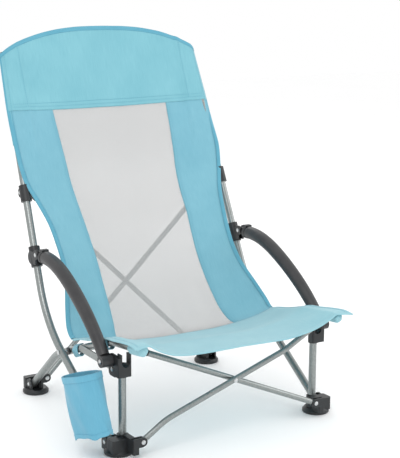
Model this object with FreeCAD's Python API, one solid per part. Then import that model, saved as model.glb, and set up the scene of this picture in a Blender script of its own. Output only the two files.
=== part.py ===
import FreeCAD, Part
import math
import os

# Low folding camp chair with a sling seat. Millimetres, +Z up. The chair faces -Y; +X is the
# right-hand side of someone looking at its front. It is drawn about the middle plane of its frame, and
# written out about the point on the floor under the middle of its overall box, which the cup holder on
# the left makes wider. Nodes end in _right (+X) or _left (-X).

V = FreeCAD.Vector

# From the frame's middle, midway between the four feet, to the origin of the written parts
ORIGIN = V(-32.0, 20.0, 0.0)

# Tubes
POLE_R = 8.0
CROSS_R = 6.0
WALL = 1.2
CLEAR = 0.3
PIN_R = 2.5
PIN_FIT = 0.05

# Planes of the side frames, as distances from the middle plane
POLE_X = 252.0
RAIL_X = 232.0
LINK_IN = 240.6
LINK_OUT = 243.4
ARM_X = 262.0
CROSS_EAR_X = 214.0
REAR_EAR_X = 206.0
REAR_TOP_X = 228.0
CROSS_GAP = 6.6
END_R = 7.0

# Side frame points (y, z)
FRONT_PIN = (-195.0, 22.0)
PIVOT = (8.0, 152.6)
POLE_BEND = (78.8, 198.1)
POLE_TOP = (323.4, 748.0)
REAR_PIN = (208.5, 22.0)
RAIL_BEND_REAR = (84.0, 125.0)
RAIL_BEND_FRONT = (-175.0, 219.0)
RAIL_FRONT = (-292.0, 231.0)
POST = (-211.0, 176.0)
ARM_PIN = (-199.0, 190.0)
LINK_PIN = (-202.0, 172.0)
LINK_REAR_PIN = (-52.5, 174.5)

# Poles lean a little outwards to the bend and inwards above it
POLE_BEND_X = 259.0
POLE_TOP_X = 238.6
POLE_BEND_R = 280.0
RAIL_BEND_R = 130.0

# Front cross tubes (x, z): the one that starts at the left foot is bent, the other is straight
CROSS_Y = -252.0
CROSS_LINE = ((-214.0, 34.0), (-160.0, 69.0), (125.0, 169.0), (211.5, 216.0))
CROSS_MID_Z = 125.1
EAR_Z = 34.0

# Rear cross tubes
REAR_Y = 206.0
REAR_TOP_Z = 455.0

# Pieces that slide on the poles, by the height of their middle
COLLAR_Z = 330.0
SLIDER_Z = 459.0
ARM_PIN_OUT = 26.0

# Feet
FOOT_R = 29.0
FRONT_FOOT = (242.0, -212.0)
REAR_FOOT = (226.0, 212.0)

# Arm centre line (y, z) and radius, from the upper end to the lower end
ARM_LINE = (
    (80.0, 340.5, 14.2),
    (50.0, 339.0, 14.4),
    (10.0, 330.0, 14.4),
    (-40.0, 309.0, 14.2),
    (-90.0, 281.0, 13.8),
    (-135.0, 250.0, 13.2),
    (-170.0, 220.0, 12.6),
    (-192.0, 198.0, 12.0),
)
ARM_TOP_X = 257.0

# Sling: edge stations of the back (half width, y, z, sag behind the edges), top to bottom
CLOTH = 3.0
HEM_ROLL = 12.0
HEM_R = 3.0
BACK = (
    (222.0, 335.0, 790.0, 2.0),
    (226.0, 308.0, 715.0, 3.0),
    (230.0, 258.0, 600.0, 5.0),
    (232.0, 220.0, 520.0, 9.0),
    (230.0, 166.0, 440.0, 18.0),
    (217.0, 109.0, 360.0, 24.0),
    (218.0, 72.0, 305.0, 26.0),
    (222.0, 32.0, 250.0, 24.0),
    (222.0, 2.0, 205.0, 20.0),
)
# Seat stations (half width, y, z, sag below the edges), rear to front
SEAT = (
    (216.0, -30.0, 186.0, 24.0),
    (220.0, -80.0, 205.0, 26.0),
    (220.5, -140.0, 222.0, 28.0),
    (220.5, -200.0, 236.0, 31.0),
    (220.5, -260.0, 242.0, 34.0),
    (220.5, -300.0, 243.0, 36.0),
)

# Cup holder: an oval pouch at the left, leaning back and outwards
CUP_HALF_X = 32.0
CUP_HALF_Y = 59.0
CUP_HEIGHT = 124.0
CUP_WALL = 2.0
STRAP_AT = 62.0
CUP_BASE = V(-296.0, -214.0, 47.0)
CUP_AXIS = V(-0.0785, 0.2856, 0.9545)


def p3(x, yz):
    return V(x, yz[0], yz[1])


def unit(v):
    out = V(v)
    out.normalize()
    return out


def block(x0, x1, y0, y1, z0, z1, r=0.0):
    """Box, with its upright edges rounded by r."""
    box = Part.makeBox(x1 - x0, y1 - y0, z1 - z0, V(x0, y0, z0))
    if r > 0:
        upright = [e for e in box.Edges if abs(e.Vertexes[0].Z - e.Vertexes[1].Z) > 0.5 * (z1 - z0)]
        box = box.makeFillet(r, upright)
    return box


def rod(a, b, r):
    d = b.sub(a)
    return Part.makeCylinder(r, d.Length, a, d)


def pipe(a, b, r_out, r_in):
    d = unit(b.sub(a))
    return rod(a, b, r_out).cut(rod(a.sub(d), b.add(d), r_in))


def fillet_path(points, radius):
    """Wire through the points with each inner corner rounded by an arc."""
    edges = []
    start = points[0]
    for i in range(1, len(points) - 1):
        p = points[i]
        d1 = unit(points[i - 1].sub(p))
        d2 = unit(points[i + 1].sub(p))
        half = d1.getAngle(d2) / 2
        reach = radius / math.tan(half)
        inward = unit(d1.add(d2))
        a = p.add(d1 * reach)
        b = p.add(d2 * reach)
        mid = p.add(inward * (radius / math.sin(half) - radius))
        edges.append(Part.makeLine(start, a))
        edges.append(Part.Arc(a, mid, b).toShape())
        start = b
    edges.append(Part.makeLine(start, points[-1]))
    return Part.Wire(edges)


def sweep(path, at, along, r):
    ring = Part.Wire([Part.makeCircle(r, at, along)])
    return path.makePipeShell([ring], True, False)


def bent_tube(points, radius, r):
    path = fillet_path(points, radius)
    along = unit(points[1].sub(points[0]))
    return sweep(path, points[0], along, r).cut(sweep(path, points[0], along, r - WALL))


def loft(wires):
    return Part.makeLoft(wires, True, False)


def rivet_head(at, out, r=4.6):
    """Low domed head standing on a face at `at`, pointing along `out`."""
    base = Part.makeCylinder(r, 0.9, at, out)
    dome = Part.makeCone(r, r * 0.55, 1.1, at.add(out * 0.9), out)
    return base.fuse(dome)


def rivet(a, b, r=PIN_R, head=4.6):
    """Pin from a to b with a head beyond each end."""
    d = unit(b.sub(a))
    body = rod(a, b, r)
    return body.fuse([rivet_head(a, d * -1, head), rivet_head(b, d, head)]).removeSplitter()


def mirrored(shape):
    return shape.mirror(V(0, 0, 0), V(1, 0, 0))


def write(node, shape):
    if isinstance(shape, list):
        shape = Part.makeCompound(shape)
    moved = shape.copy()
    moved.translate(ORIGIN * -1)
    moved.exportStep("parts/" + node + ".step")


X = V(1, 0, 0)
Y = V(0, 1, 0)
Z = V(0, 0, 1)
UP = unit(p3(POLE_TOP_X, POLE_TOP).sub(p3(POLE_BEND_X, POLE_BEND)))
FORE = unit(V(0, -UP.z, UP.y))


def on_pole(z):
    """Point on the straight upper part of the right pole."""
    bend = p3(POLE_BEND_X, POLE_BEND)
    return bend.add(UP * ((z - bend.z) / UP.z))


COLLAR = on_pole(COLLAR_Z)
SLIDER = on_pole(SLIDER_Z)
ARM_TOP_PIN = COLLAR.add(FORE * ARM_PIN_OUT)


def foot_base(centre):
    x, y = centre
    profile = [V(0, 0, 0), V(FOOT_R - 1.5, 0, 0), V(FOOT_R, 0, 2), V(FOOT_R, 0, 6.5), V(FOOT_R - 5, 0, 12)]
    profile = profile + [V(0, 0, 12), V(0, 0, 0)]
    disc = Part.Face(Part.makePolygon(profile)).revolve(V(0, 0, 0), Z, 360)
    disc.translate(V(x, y, 0))
    return disc


def tube_ear(x, y, bridge_x, bridge_y):
    """Two cheeks around a cross tube's flat end, with the bridge that joins them to the foot."""
    cheeks = []
    for a, b in ((-6.4, -2.9), (2.9, 6.4)):
        round_end = Part.makeCylinder(9.0, b - a, V(x, y + a, EAR_Z), Y)
        cheeks.append(round_end.fuse(block(x, bridge_x, y + a, y + b, 24.0, 43.0)))
    bridge = block(x + 9.2, bridge_x, bridge_y[0], bridge_y[1], 10.0, 40.0, 2.0)
    return cheeks[0].fuse([cheeks[1], bridge])


def clevis(x, pin, half):
    """Two upright cheeks around a tube end at distance x from the middle plane."""
    y, z = pin
    cheeks = []
    for a, b in ((x - half, x - POLE_R - 0.4), (x + POLE_R + 0.4, x + half)):
        top = Part.makeCylinder(12.0, b - a, V(a, y, z), X)
        cheeks.append(top.fuse(block(a, b, y - 12.0, y + 12.0, 6.0, z)))
    return cheeks[0].fuse(cheeks[1])


def front_foot(ear_y):
    x, y = FRONT_FOOT
    socket = Part.makeCylinder(12.0, 30.0, V(RAIL_X, POST[0], 8.0))
    body = foot_base(FRONT_FOOT).fuse([
        socket,
        clevis(POLE_X, FRONT_PIN, 12.4),
        tube_ear(CROSS_EAR_X, ear_y, 236.0, (ear_y - 6.4, -206.0)),
        block(224.0, 266.0, -236.0, -206.4, 8.0, 35.0, 5.0),
    ])
    channel = block(POLE_X - 8.4, POLE_X + 8.4, -208.5, -160.0, 10.2, 60.0)
    bore = Part.makeCylinder(POLE_R, 60.0, V(RAIL_X, POST[0], 8.0))
    holes = rod(V(230, *FRONT_PIN), V(270, *FRONT_PIN), PIN_R)
    hole_ear = rod(V(CROSS_EAR_X, ear_y - 10, EAR_Z), V(CROSS_EAR_X, ear_y + 10, EAR_Z), PIN_R)
    return body.cut(channel).cut(bore).cut(holes).cut(hole_ear).removeSplitter()


def front_foot_rivets(ear_y):
    a = V(POLE_X - 11.0, *FRONT_PIN)
    b = V(POLE_X + 12.4, *FRONT_PIN)
    pole_pin = rod(a, b, PIN_R).fuse(rivet_head(b, X))
    ear_pin = rivet(V(CROSS_EAR_X, ear_y - 6.4, EAR_Z), V(CROSS_EAR_X, ear_y + 6.4, EAR_Z))
    return [pole_pin.removeSplitter(), ear_pin]


def rear_foot(ear_y):
    body = foot_base(REAR_FOOT).fuse([
        clevis(RAIL_X, REAR_PIN, 12.4),
        tube_ear(REAR_EAR_X, ear_y, 221.0, (192.6, 219.4)),
        block(212.0, 246.0, 220.4, 238.0, 8.0, 33.0, 5.0),
    ])
    channel = block(RAIL_X - 8.4, RAIL_X + 8.4, 150.0, 222.0, 10.2, 60.0)
    holes = rod(V(215, *REAR_PIN), V(250, *REAR_PIN), PIN_R)
    hole_ear = rod(V(REAR_EAR_X, ear_y - 10, EAR_Z), V(REAR_EAR_X, ear_y + 10, EAR_Z), PIN_R)
    return body.cut(channel).cut(holes).cut(hole_ear).removeSplitter()


def rear_foot_rivets(ear_y):
    a = V(RAIL_X - 12.4, *REAR_PIN)
    b = V(RAIL_X + 12.4, *REAR_PIN)
    ear_pin = rivet(V(REAR_EAR_X, ear_y - 6.4, EAR_Z), V(REAR_EAR_X, ear_y + 6.4, EAR_Z))
    return [rod(a, b, PIN_R).fuse(rivet_head(b, X)).removeSplitter(), ear_pin]


def pole():
    foot = p3(POLE_X, FRONT_PIN)
    bend = p3(POLE_BEND_X, POLE_BEND)
    down = unit(foot.sub(bend))
    tube = bent_tube([foot.add(down * 6.0), bend, p3(POLE_TOP_X, POLE_TOP)], POLE_BEND_R, POLE_R)
    tube = tube.cut(rod(V(230, *FRONT_PIN), V(275, *FRONT_PIN), PIN_R + PIN_FIT))
    return tube.cut(rod(V(230, *PIVOT), V(275, *PIVOT), PIN_R))


def pole_cap():
    top = p3(POLE_TOP_X, POLE_TOP)
    plug = rod(top.sub(UP * 14.0), top, POLE_R - WALL)
    dome = Part.makeCylinder(POLE_R + 0.8, 5.0, top, UP)
    return plug.fuse(dome.makeFillet(2.4, [dome.Edges[0]])).removeSplitter()


def rail():
    points = [p3(RAIL_X, q) for q in (REAR_PIN, RAIL_BEND_REAR, RAIL_BEND_FRONT, RAIL_FRONT)]
    points[0] = points[0].add(unit(points[0].sub(points[1])) * 6.0)
    tube = bent_tube(points, RAIL_BEND_R, POLE_R)
    tube = tube.cut(rod(V(215, *REAR_PIN), V(250, *REAR_PIN), PIN_R + PIN_FIT))
    return tube.cut(rod(V(215, *PIVOT), V(250, *PIVOT), PIN_R + PIN_FIT))


def side_pivot():
    """Rivet through the pole and the rail, with the black spacer that keeps them apart."""
    share = (PIVOT[1] - FRONT_PIN[1]) / (POLE_BEND[1] - FRONT_PIN[1])
    outside = POLE_X + (POLE_BEND_X - POLE_X) * share + POLE_R + 0.1
    return rivet(V(RAIL_X - 8.4, *PIVOT), V(outside, *PIVOT), PIN_R, 5.0)


def side_spacer():
    ring = Part.makeCylinder(8.0, 3.2, V(RAIL_X + 8.4, *PIVOT), X)
    return ring.cut(rod(V(215, *PIVOT), V(275, *PIVOT), PIN_R))


def post():
    return pipe(V(RAIL_X, POST[0], 8.0), V(RAIL_X, POST[0], POST[1]), POLE_R, POLE_R - WALL)


def hub():
    """Moulding on the post: socket, open-topped rail hook, and the outer lobe for arm and link."""
    socket = Part.makeCylinder(11.0, 26.0, V(RAIL_X, POST[0], 157.0))
    saddle = block(219.0, 245.0, -228.0, -212.5, 160.0, 206.0, 4.0)
    lobe = block(244.4, 249.4, -220.0, -187.0, 158.0, 203.0)
    along = [e for e in lobe.Edges if abs(e.Vertexes[0].X - e.Vertexes[1].X) > 4.0]
    lobe = lobe.makeFillet(9.0, along)
    web = block(238.0, 249.4, -228.0, -212.5, 160.0, 200.0, 2.0)
    body = socket.fuse([saddle, lobe, web])
    channel = block(223.4, 240.6, -240.0, -205.0, 188.0, 220.0)
    gutter = Part.makeCylinder(8.6, 40.0, V(RAIL_X, -242.0, 188.0), Y)
    flat = block(240.2, 244.4, -212.4, -180.0, 150.0, 210.0)
    bore = Part.makeCylinder(POLE_R, POST[1] - 150.0, V(RAIL_X, POST[0], 150.0))
    arm_hole = rod(V(240, *ARM_PIN), V(252, *ARM_PIN), PIN_R)
    link_hole = rod(V(240, *LINK_PIN), V(252, *LINK_PIN), PIN_R)
    link_pin = hub_rivets()[0]
    for tool in (channel, gutter, flat, bore, arm_hole, link_hole, link_pin):
        body = body.cut(tool)
    return body.removeSplitter()


def hub_rivets():
    link_pin = rivet(V(240.3, *LINK_PIN), V(249.4, *LINK_PIN), PIN_R, 4.2)
    arm_pin = rod(V(244.4, *ARM_PIN), V(274.4, *ARM_PIN), PIN_R)
    arm_pin = arm_pin.fuse(rivet_head(V(274.4, *ARM_PIN), X, 5.0))
    return [link_pin, arm_pin.removeSplitter()]


def link():
    """Flat bar between the hub and the seat rail."""
    ends = [Part.makeCylinder(7.5, LINK_OUT - LINK_IN, V(LINK_IN, *q), X) for q in (LINK_PIN, LINK_REAR_PIN)]
    a = V(LINK_IN, *LINK_PIN)
    d = V(0, LINK_REAR_PIN[0] - LINK_PIN[0], LINK_REAR_PIN[1] - LINK_PIN[1])
    side = unit(V(0, -d.z, d.y)) * 7.5
    corners = [a.add(side), a.add(d).add(side), a.add(d).sub(side), a.sub(side), a.add(side)]
    bar = Part.Face(Part.makePolygon(corners)).extrude(X * (LINK_OUT - LINK_IN))
    bar = bar.fuse(ends)
    return bar.cut(rod(V(235, *LINK_PIN), V(250, *LINK_PIN), PIN_R + PIN_FIT)).removeSplitter()


def link_stud():
    """Rivet stud in the rail that the link's rear end hangs on; it stops short of the bar."""
    return rivet_head(V(RAIL_X - POLE_R + 0.4, *LINK_REAR_PIN), X * -1).cut(rail())


def cross_points(y, side):
    """Line of a front cross tube, from the foot on `side` to the other rail."""
    line = CROSS_LINE if side < 0 else (CROSS_LINE[0], CROSS_LINE[-1])
    return [V(-side * x, y, z) for x, z in line]


def cross_tube(y, side):
    """Front cross tube from the foot on `side` to the other rail."""
    points = cross_points(y, side)
    low = unit(points[1].sub(points[0]))
    high = unit(points[-1].sub(points[-2]))
    ends = [points[0].add(low * 14.0), points[-1].sub(high * 4.0)]
    if len(points) > 2:
        tube = bent_tube([ends[0], points[1], points[2], ends[1]], 110.0, CROSS_R)
    else:
        tube = pipe(ends[0], ends[1], CROSS_R, CROSS_R - WALL)
    tang = Part.makeCylinder(7.0, 5.0, V(points[0].x, y - 2.5, EAR_Z), Y)
    neck = Part.makeCylinder(CROSS_R - WALL, 12.0, points[0].add(low * 9.6), low)
    blade = Part.makeBox(15.0, 5.0, 11.0, V(0, -2.5, -5.5))
    blade.rotate(V(0, 0, 0), Y, -math.degrees(math.atan2(low.z, low.x)))
    blade.translate(points[0])
    tang = tang.fuse([blade, neck]).cut(rod(points[0].sub(Y * 9), points[0].add(Y * 9), PIN_R + PIN_FIT))
    middle = V(0, y, CROSS_MID_Z)
    tube = tube.fuse(tang).cut(rod(middle.sub(Y * 9), middle.add(Y * 9), PIN_R))
    return tube.removeSplitter()


def cross_end(y, side):
    """Moulded ball end that faces the seat rail."""
    before, tip = cross_points(y, side)[-2:]
    d = unit(tip.sub(before))
    ball = Part.makeSphere(END_R, tip)
    collar = Part.makeCylinder(END_R, 18.0, tip.sub(d * 18.0), d)
    inner = rod(tip.sub(d * 40.0), tip.sub(d * 4.0), CROSS_R)
    return ball.fuse(collar).cut(inner).removeSplitter()


def rear_points(y, side):
    return V(side * REAR_EAR_X, y, EAR_Z), V(-side * REAR_TOP_X, y, REAR_TOP_Z)


def rear_cross_tube(y, side):
    low, high = rear_points(y, side)
    d = unit(high.sub(low))
    tube = pipe(low.add(d * 14.0), high.sub(d * 4.0), CROSS_R, CROSS_R - WALL)
    tang = Part.makeCylinder(7.0, 5.0, V(low.x, y - 2.5, EAR_Z), Y)
    neck = Part.makeCylinder(CROSS_R - WALL, 12.0, low.add(d * 9.6), d)
    blade = Part.makeBox(15.0, 5.0, 11.0, V(0, -2.5, -5.5))
    blade.rotate(V(0, 0, 0), Y, -math.degrees(math.atan2(d.z, d.x)))
    blade.translate(low)
    tang = tang.fuse([blade, neck]).cut(rod(low.sub(Y * 9), low.add(Y * 9), PIN_R + PIN_FIT))
    return tube.fuse(tang).removeSplitter()


def rear_cross_end(y, side):
    low, high = rear_points(y, side)
    d = unit(high.sub(low))
    ball = Part.makeSphere(7.8, high)
    collar = Part.makeCylinder(7.4, 18.0, high.sub(d * 20.0), d)
    return ball.fuse(collar).cut(rod(high.sub(d * 40.0), high.sub(d * 4.0), CROSS_R)).removeSplitter()


def collar():
    """Moulding that slides on the pole and carries the arm's upper end between two cheeks."""
    a = COLLAR.sub(UP * 21.0)
    b = COLLAR.add(UP * 23.0)
    cheeks = []
    for x0, x1 in ((248.2, 252.2), (261.8, 265.8)):
        reach = Part.makeCylinder(10.5, x1 - x0, V(x0, ARM_TOP_PIN.y, ARM_TOP_PIN.z), X)
        root = Part.makeCylinder(14.0, x1 - x0, V(x0, COLLAR.y, COLLAR.z), X)
        plate = block(x0, x1, ARM_TOP_PIN.y, COLLAR.y, COLLAR.z - 12.0, COLLAR.z + 15.0)
        cheeks.append(reach.fuse([root, plate]))
    body = rod(a, b, 12.2).fuse(cheeks)
    sleeve = rod(a.sub(UP * 9), b.add(UP * 9), POLE_R + CLEAR)
    hole = rod(V(240, ARM_TOP_PIN.y, ARM_TOP_PIN.z), V(275, ARM_TOP_PIN.y, ARM_TOP_PIN.z), PIN_R)
    return body.cut(sleeve).cut(hole).removeSplitter()


def collar_rivet():
    """Half rivets in the two cheeks; the arm's end floats between them."""
    y, z = ARM_TOP_PIN.y, ARM_TOP_PIN.z
    inner = rod(V(252.2, y, z), V(248.2, y, z), PIN_R).fuse(rivet_head(V(248.2, y, z), X * -1))
    outer = rod(V(261.8, y, z), V(265.8, y, z), PIN_R).fuse(rivet_head(V(265.8, y, z), X))
    return [inner.removeSplitter(), outer.removeSplitter()]


def slider():
    """Moulding that slides on the pole, with the ear that the rear cross tube reaches."""
    a = SLIDER.sub(UP * 18.0)
    b = SLIDER.add(UP * 18.0)
    ear = Part.makeCylinder(9.5, 15.0, V(REAR_TOP_X + 9.0, REAR_Y, REAR_TOP_Z), X)
    lug = Part.makeCylinder(10.5, 9.0, V(SLIDER.x - 2.0, SLIDER.y + 13.0, SLIDER.z), X)
    body = rod(a, b, 12.2).fuse([ear, lug])
    return body.cut(rod(a.sub(UP * 9), b.add(UP * 9), POLE_R + CLEAR)).removeSplitter()


def slider_rivets():
    face = V(REAR_TOP_X + 24.0, REAR_Y, REAR_TOP_Z)
    side = V(SLIDER.x + 7.0, SLIDER.y + 15.5, SLIDER.z)
    return [rivet_head(at, X, 4.0).cut(slider()) for at in (face, side)]


def arm_section(i, points):
    """Round section of the arm, square to its centre line."""
    x, y, z, r = points[i]
    before = points[max(i - 1, 0)]
    after = points[min(i + 1, len(points) - 1)]
    d = unit(V(after[0] - before[0], after[1] - before[1], after[2] - before[2]))
    return Part.Wire([Part.makeCircle(r, V(x, y, z), d)])


def arm_points():
    y0 = ARM_LINE[0][0]
    span = ARM_LINE[-1][0] - y0
    return [(ARM_TOP_X + (ARM_X - ARM_TOP_X) * (y - y0) / span, y, z, r) for y, z, r in ARM_LINE]


def arm():
    points = arm_points()
    grip = loft([arm_section(i, points) for i in range(len(points))])
    boss = Part.makeCylinder(12.0, 24.2, V(250.0, *ARM_PIN), X)
    body = grip.fuse(boss)
    return body.cut(rod(V(240, *ARM_PIN), V(280, *ARM_PIN), PIN_R + PIN_FIT)).removeSplitter()


def arm_cap():
    """Black moulded end of the arm, with the flat tongue that lies between the collar's cheeks."""
    x, y, z, r = arm_points()[0]
    start = V(x, y, z)
    cup = Part.makeCylinder(r + 0.6, 9.0, start, Y)
    lip = block(x - 8.0, x + 8.0, y + 1.0, y + 13.0, z + 11.0, z + 16.6)
    tongue = block(252.6, 258.8, y + 10.0, ARM_TOP_PIN.y, ARM_TOP_PIN.z - 8.0, ARM_TOP_PIN.z + 8.0)
    end = Part.makeCylinder(8.0, 6.2, V(252.6, ARM_TOP_PIN.y, ARM_TOP_PIN.z), X)
    return cup.fuse([lip, tongue, end]).cut(arm()).removeSplitter()


def strip(stations, down):
    """Thin curved sheet through the stations; it sags between its edges along `down`."""
    wires = []
    for i, (w, y, z, sag) in enumerate(stations):
        before = stations[max(i - 1, 0)]
        after = stations[min(i + 1, len(stations) - 1)]
        run = unit(V(0, after[1] - before[1], after[2] - before[2]))
        face = V(0, -run.z, run.y)
        if face.dot(down) < 0:
            face = face * -1
        corners = []
        for depth in (0.0, CLOTH):
            left = V(-w, y, z).add(face * depth)
            right = V(w, y, z).add(face * depth)
            middle = V(0, y, z).add(face * (depth + sag))
            corners.append((left, middle, right))
        (a, b, c), (d, e, f) = corners
        top = Part.Arc(a, b, c).toShape()
        right_side = Part.makeLine(c, f)
        bottom = Part.Arc(f, e, d).toShape()
        left_side = Part.makeLine(d, a)
        wires.append(Part.Wire([top, right_side, bottom, left_side]))
    return loft(wires)


def sling_seat():
    """Seat sheet, with the short rolled hems at its two rear corners that it turns on."""
    w, y, z, _ = SEAT[0]
    rolls = [rod(V(side * (w - HEM_ROLL), y, z - 1.0), V(side * w, y, z - 1.0), HEM_R) for side in (-1, 1)]
    return strip(SEAT, V(0, 0, -1)).fuse(rolls)


def sleeve():
    """Long pocket of the back sling around the top of the pole."""
    return pipe(on_pole(532.0), p3(POLE_TOP_X, POLE_TOP).sub(UP * 1.0), POLE_R + 1.7, POLE_R)


def rail_point(y):
    """Height of the rail's centre line at y, in front of the pivot."""
    if y > RAIL_BEND_FRONT[0]:
        a, b = RAIL_BEND_REAR, RAIL_BEND_FRONT
    else:
        a, b = RAIL_BEND_FRONT, RAIL_FRONT
    return a[1] + (b[1] - a[1]) * (y - a[0]) / (b[0] - a[0])


def rod_along_rail():
    """Room that the rail takes up inside the cloth around it."""
    points = [p3(RAIL_X, q) for q in (REAR_PIN, RAIL_BEND_REAR, RAIL_BEND_FRONT, RAIL_FRONT)]
    along = unit(points[1].sub(points[0]))
    return sweep(fillet_path(points, RAIL_BEND_R), points[0], along, POLE_R + 0.1)


def loop(y):
    """Cloth loop around the rail, flat on the side where the link swings by."""
    a = V(RAIL_X, y + 11.0, rail_point(y + 11.0))
    b = V(RAIL_X, y - 11.0, rail_point(y - 11.0))
    outside = block(LINK_IN - 0.4, LINK_IN + 9.0, y - 30.0, y + 30.0, 120.0, 260.0)
    return rod(a, b, POLE_R + 2.0).cut([rod_along_rail(), outside])


def rail_pocket():
    """Cloth pocket over the front end of the rail."""
    a = V(RAIL_X, -264.0, rail_point(-264.0))
    tip = p3(RAIL_X, RAIL_FRONT)
    d = unit(tip.sub(a))
    return rod(a, tip.add(d * 2.0), POLE_R + 2.0).cut(rod(a.sub(d), tip, POLE_R + 0.2))


def cup_oval(height, inset):
    """Oval outline of the pouch at a height along its axis."""
    axis = unit(CUP_AXIS)
    ring = Part.Ellipse(V(0, 0, 0), CUP_HALF_Y - inset, CUP_HALF_X - inset).toShape()
    ring.rotate(V(0, 0, 0), Z, 90)
    turn = FreeCAD.Rotation(Z, axis)
    ring.Placement = FreeCAD.Placement(CUP_BASE.add(axis * height), turn).multiply(ring.Placement)
    return Part.Wire([ring])


def cup_holder():
    outer = loft([cup_oval(0.0, 0.0), cup_oval(CUP_HEIGHT, 0.0)])
    inner = loft([cup_oval(CUP_WALL, CUP_WALL), cup_oval(CUP_HEIGHT + 1.0, CUP_WALL)])
    return outer.cut(inner)


def cup_strap():
    """Strap loop that hangs the pouch on the left pole."""
    foot = V(-POLE_X, *FRONT_PIN)
    bend = V(-POLE_BEND_X, *POLE_BEND)
    d = unit(bend.sub(foot))
    a = foot.add(d * STRAP_AT)
    return pipe(a, a.add(d * 25.0), POLE_R + 1.8, POLE_R)


os.makedirs("parts", exist_ok=True)

# Each cross tube has its own layer, so the ears of the two sides differ
FRONT_LAYER = {1: CROSS_Y + CROSS_GAP, -1: CROSS_Y - CROSS_GAP}
REAR_LAYER = {1: REAR_Y + CROSS_GAP, -1: REAR_Y - CROSS_GAP}
SIDE_NAME = {1: "_right", -1: "_left"}

for side in (1, -1):
    name = SIDE_NAME[side]
    front_y = FRONT_LAYER[side]
    rear_y = REAR_LAYER[side]
    paired = {
        "front_foot": front_foot(front_y),
        "front_foot_rivets": front_foot_rivets(front_y),
        "rear_foot": rear_foot(rear_y),
        "rear_foot_rivets": rear_foot_rivets(rear_y),
        "pole": pole(),
        "pole_cap": pole_cap(),
        "side_rail": rail(),
        "side_pivot_rivet": side_pivot(),
        "side_pivot_spacer": side_spacer(),
        "front_post": post(),
        "front_hub": hub(),
        "hub_rivets": hub_rivets(),
        "link_bar": link(),
        "link_stud": link_stud(),
        "arm_collar": collar(),
        "arm_collar_rivets": collar_rivet(),
        "arm": arm(),
        "arm_cap": arm_cap(),
        "pole_slider": slider(),
        "pole_slider_rivets": slider_rivets(),
        "back_sleeve": sleeve(),
        "rail_loops": [loop(-23.0), loop(-184.0)],
        "rail_pocket": rail_pocket(),
    }
    for node, shape in paired.items():
        solids = shape if isinstance(shape, list) else [shape]
        if side < 0:
            solids = [mirrored(s) for s in solids]
        write(node + name, solids if len(solids) > 1 else solids[0])
    write("front_cross_tube" + name, cross_tube(front_y, side))
    write("front_cross_end" + name, cross_end(front_y, side))
    write("rear_cross_tube" + name, rear_cross_tube(rear_y, side))
    write("rear_cross_end" + name, rear_cross_end(rear_y, side))

front_axis = V(0, CROSS_Y, CROSS_MID_Z)
write("front_cross_rivet", rivet(front_axis.sub(Y * 12.9), front_axis.add(Y * 12.9)))
write("sling_back", strip(BACK, V(0, 1, -0.4)))
write("sling_seat", sling_seat())
write("cup_holder", cup_holder())
write("cup_strap", cup_strap())
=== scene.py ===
# %% [markdown]
# # A low folding camp chair with a sling seat
# The steel frame, its mouldings and its rivets come ready made, to real size, as a fixed frame. This
# lesson gives them their finishes and sews the cloth: the headrest, the two side bands, the mesh panel,
# the seat, the pockets on the tubes and the cup pouch. Every length is in metres.

# %% Load the frame
import math

import bmesh
import bpy
from mathutils import Matrix, Vector, noise


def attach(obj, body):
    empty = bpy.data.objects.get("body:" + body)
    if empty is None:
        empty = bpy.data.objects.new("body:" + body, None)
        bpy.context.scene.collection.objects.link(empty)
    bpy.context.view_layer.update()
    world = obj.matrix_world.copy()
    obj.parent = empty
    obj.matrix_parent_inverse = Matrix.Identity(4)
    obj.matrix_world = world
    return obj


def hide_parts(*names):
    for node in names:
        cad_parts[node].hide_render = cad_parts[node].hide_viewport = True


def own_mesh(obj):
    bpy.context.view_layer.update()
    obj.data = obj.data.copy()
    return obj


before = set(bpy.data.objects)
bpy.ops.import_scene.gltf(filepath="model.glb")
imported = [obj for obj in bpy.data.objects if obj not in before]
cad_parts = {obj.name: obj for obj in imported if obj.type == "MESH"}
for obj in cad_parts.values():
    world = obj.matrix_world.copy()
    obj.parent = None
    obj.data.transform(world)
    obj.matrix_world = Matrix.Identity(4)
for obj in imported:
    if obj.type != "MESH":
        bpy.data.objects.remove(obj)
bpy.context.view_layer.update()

# %% [markdown]
# The chair is drawn about the middle plane of its frame. The cup pouch makes its left side wider, so the
# frame's middle is 32 mm to the right of the scene's origin. All the cloth below is laid out from that
# middle, so one small function moves a point there.

# %% Where the chair's middle is
MIDDLE = Vector((0.032, -0.020, 0.0))


def placed(x, y, z):
    return MIDDLE + Vector((x, y, z))


# %% [markdown]
# A product is looked at first with a long lens, a little above the seat and from its left. The camera
# comes before the pieces, so that every trial render already has the final view. A lens of 105 mm keeps
# the four feet in nearly parallel view.

# %% Camera
VIEW_TARGET = Vector((-0.006, -0.204, 0.428))
VIEW_SIDE = math.radians(-31.62)
VIEW_UP = math.radians(11.95)
VIEW_ROLL = math.radians(0.396)
VIEW_DISTANCE = 2.704
away = Vector((
    math.sin(VIEW_SIDE) * math.cos(VIEW_UP),
    -math.cos(VIEW_SIDE) * math.cos(VIEW_UP),
    math.sin(VIEW_UP),
))
lens = bpy.data.cameras.new("camera")
lens.lens = 105.46
camera = bpy.data.objects.new("camera", lens)
bpy.context.scene.collection.objects.link(camera)
turn = away.to_track_quat("Z", "Y") @ Matrix.Rotation(VIEW_ROLL, 4, "Z").to_quaternion()
camera.matrix_world = Matrix.Translation(VIEW_TARGET + away * VIEW_DISTANCE) @ turn.to_matrix().to_4x4()
bpy.context.scene.camera = camera
print("camera stands at", [round(c, 3) for c in camera.matrix_world.translation])

# %% [markdown]
# A plain pale floor and large soft lights are what a studio uses for cloth: the shadows are soft, and the
# tubes show long clean highlights. The floor is a stage, not part of the chair.

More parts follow.
